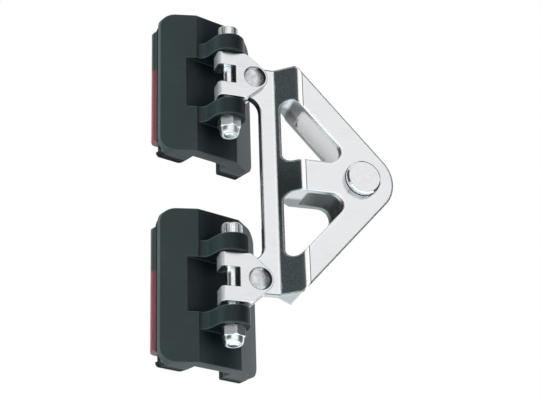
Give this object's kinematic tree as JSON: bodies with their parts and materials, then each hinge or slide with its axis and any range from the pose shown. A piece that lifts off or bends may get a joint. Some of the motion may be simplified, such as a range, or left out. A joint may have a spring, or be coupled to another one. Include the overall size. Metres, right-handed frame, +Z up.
{
  "type": "headboard car",
  "caption": "Polished forked link that carries a sail headboard pin, hinged on toggles to an upper and a lower ball bearing track car.",
  "frame": {"origin": "on the headboard pin's axis, halfway between the link's plates", "axes": "+X away from the mast, +Y to the far side of the link along the headboard pin, +Z up the mast"},
  "size_m": [0.127, 0.0546, 0.2013],
  "materials": {
    "polished_steel": "mirror polished stainless steel",
    "turned_steel": "bright turned stainless steel",
    "spring_steel": "stamped spring steel",
    "anodised_aluminium": "charcoal hard anodised, satin",
    "black_plastic": "moulded, satin",
    "red_strip": "dark red with a black upper third",
    "ball_plastic": "ground acetal balls",
    "nylon_ring": "nylon locking ring"
  },
  "bodies": {
    "link_frame": {"link": "polished_steel", "headboard_pin": "turned_steel", "retaining_ring": "spring_steel"},
    "upper_toggle_unit": {"upper_toggle": "polished_steel", "upper_toggle_pin": "turned_steel"},
    "upper_car": {"upper_car_body": "anodised_aluminium", "upper_pivot_screw": "turned_steel", "upper_lock_nut": "turned_steel", "upper_nut_insert": "nylon_ring", "upper_guide_screws": "turned_steel", "upper_right_ball_guide": "black_plastic", "upper_right_side_strip": "red_strip", "upper_right_balls": "ball_plastic", "upper_left_ball_guide": "black_plastic", "upper_left_side_strip": "red_strip", "upper_left_balls": "ball_plastic"},
    "lower_toggle_unit": {"lower_toggle": "polished_steel", "lower_toggle_pin": "turned_steel"},
    "lower_car": {"lower_car_body": "anodised_aluminium", "lower_pivot_screw": "turned_steel", "lower_lock_nut": "turned_steel", "lower_nut_insert": "nylon_ring", "lower_guide_screws": "turned_steel", "lower_right_ball_guide": "black_plastic", "lower_right_side_strip": "red_strip", "lower_right_balls": "ball_plastic", "lower_left_ball_guide": "black_plastic", "lower_left_side_strip": "red_strip", "lower_left_balls": "ball_plastic"}
  },
  "joints": [
    {"name": "upper_tilt", "type": "hinge", "parent": "link_frame", "child": "upper_toggle_unit", "pos_m": [-0.056, 0, 0.0588], "axis": [0, 1, 0], "range_deg": [-15, 15]},
    {"name": "upper_swing", "type": "hinge", "parent": "upper_toggle_unit", "child": "upper_car", "pos_m": [-0.0695, 0, 0.0588], "axis": [0, 0, 1], "range_deg": [-20, 160]},
    {"name": "lower_tilt", "type": "hinge", "parent": "link_frame", "child": "lower_toggle_unit", "pos_m": [-0.056, 0, -0.0588], "axis": [0, 1, 0], "range_deg": [-15, 15]},
    {"name": "lower_swing", "type": "hinge", "parent": "lower_toggle_unit", "child": "lower_car", "pos_m": [-0.0695, 0, -0.0588], "axis": [0, 0, 1], "range_deg": [-20, 160]}
  ]
}
